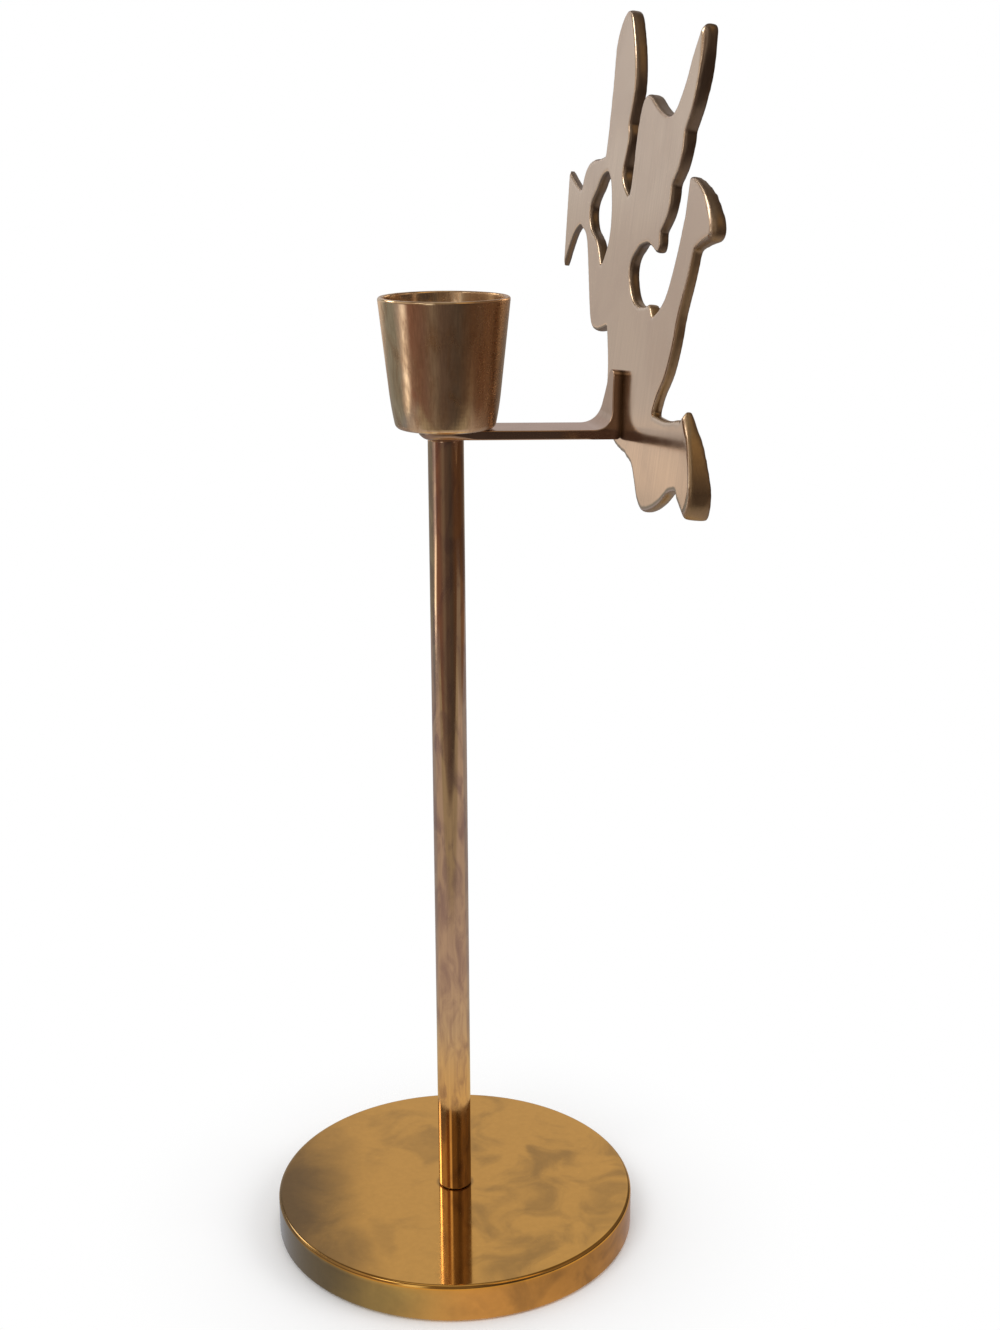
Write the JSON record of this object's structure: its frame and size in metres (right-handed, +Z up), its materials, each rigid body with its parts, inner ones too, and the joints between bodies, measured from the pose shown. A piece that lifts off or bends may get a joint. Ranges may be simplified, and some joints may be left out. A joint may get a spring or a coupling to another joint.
{
  "type": "candlestick",
  "caption": "Brass candlestick with a round foot, slim stem and conical cup; a flat cast angel with a trumpet swings beside the cup on a strip arm.",
  "frame": {"origin": "middle of the underside of the felt, on the stem's axis, where the candlestick stands", "axes": "+Z up along the stem, +X along the arm towards the angel's back, the angel's feet towards -Y"},
  "size_m": [0.096, 0.1207, 0.2863],
  "materials": {
    "base_brass": "polished, with tarnish",
    "stem_brass": "polished",
    "cup_brass": "polished",
    "arm_brass": "polished",
    "figure_brass": "satin, finely brushed",
    "fastener_steel": "satin",
    "felt": "matt"
  },
  "bodies": {
    "stand": {"base_disc": "base_brass", "base_felt": "felt", "base_washer": "fastener_steel", "base_nut": "fastener_steel", "stem": "stem_brass"},
    "arm": {"swivel_arm": "arm_brass", "angel_figure": "figure_brass"},
    "cup": {"candle_cup": "cup_brass"}
  },
  "joints": [
    {"name": "arm_swivel", "type": "hinge", "parent": "stand", "child": "arm", "pos_m": [0, 0, 0.19645], "axis": [0, 0, 1], "continuous": true},
    {"name": "cup_turn", "type": "hinge", "parent": "stand", "child": "cup", "pos_m": [0, 0, 0.2], "axis": [0, 0, 1], "continuous": true}
  ]
}
